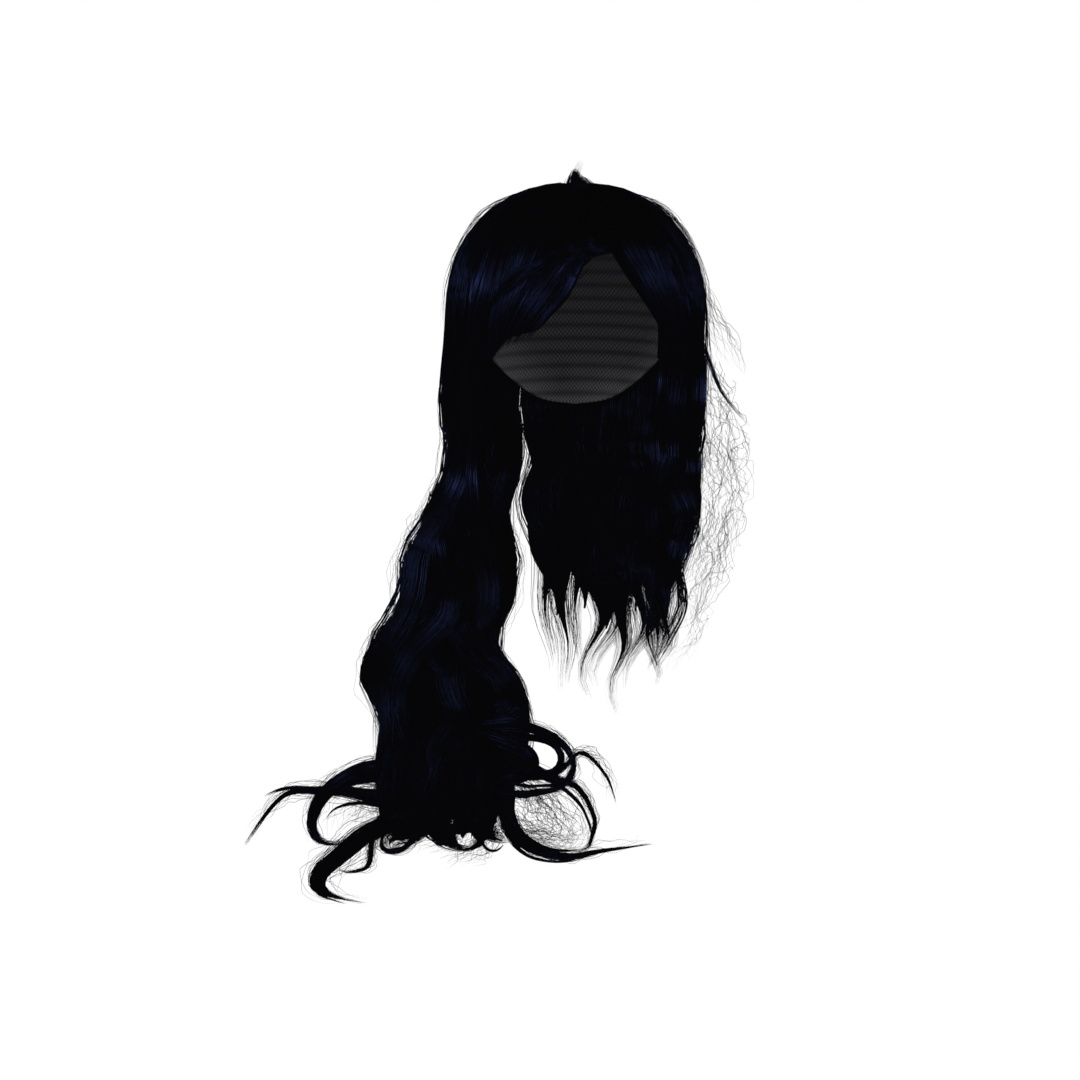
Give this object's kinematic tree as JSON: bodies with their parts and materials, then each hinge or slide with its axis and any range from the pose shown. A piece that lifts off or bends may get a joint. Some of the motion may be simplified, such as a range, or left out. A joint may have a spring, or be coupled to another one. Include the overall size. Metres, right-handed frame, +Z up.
{
  "type": "long wavy wig with bangs",
  "caption": "Long wavy black wig with side-swept bangs on a thin net cap, one side brought forward and ending in loose curls, the rest hanging down the back.",
  "frame": {"origin": "inside of the cap at the crown, where the cap rests on the top of the head", "axes": "+Z up along the head, -Y the way the wearer faces, +X to the right as seen from the front"},
  "size_m": [0.3734, 0.3805, 0.4842],
  "materials": {
    "cap_net": "matte stretch net",
    "hair": "black fibre with a soft blue sheen"
  },
  "bodies": {
    "root": {"cap": "cap_net", "crown_hair": "hair", "crown_tuft": "hair", "bangs_left": "hair", "bangs_right": "hair", "left_lock_1": "hair", "left_lock_2": "hair", "left_lock_3": "hair", "left_lock_4": "hair", "left_lock_5": "hair", "back_lock_1": "hair", "back_lock_2": "hair", "back_lock_3": "hair", "back_lock_4": "hair", "back_lock_5": "hair", "back_lock_6": "hair", "back_lock_7": "hair", "back_lock_8": "hair", "left_tail_curl": "hair", "left_ring_curl": "hair", "front_hook_curl": "hair", "small_hook_curl": "hair", "front_left_curl": "hair", "front_right_curl": "hair", "right_sweep_curl": "hair", "right_ring_curl": "hair", "upper_ring_curl": "hair", "thin_loop_curl": "hair", "flyaway_lock": "hair"}
  },
  "joints": []
}
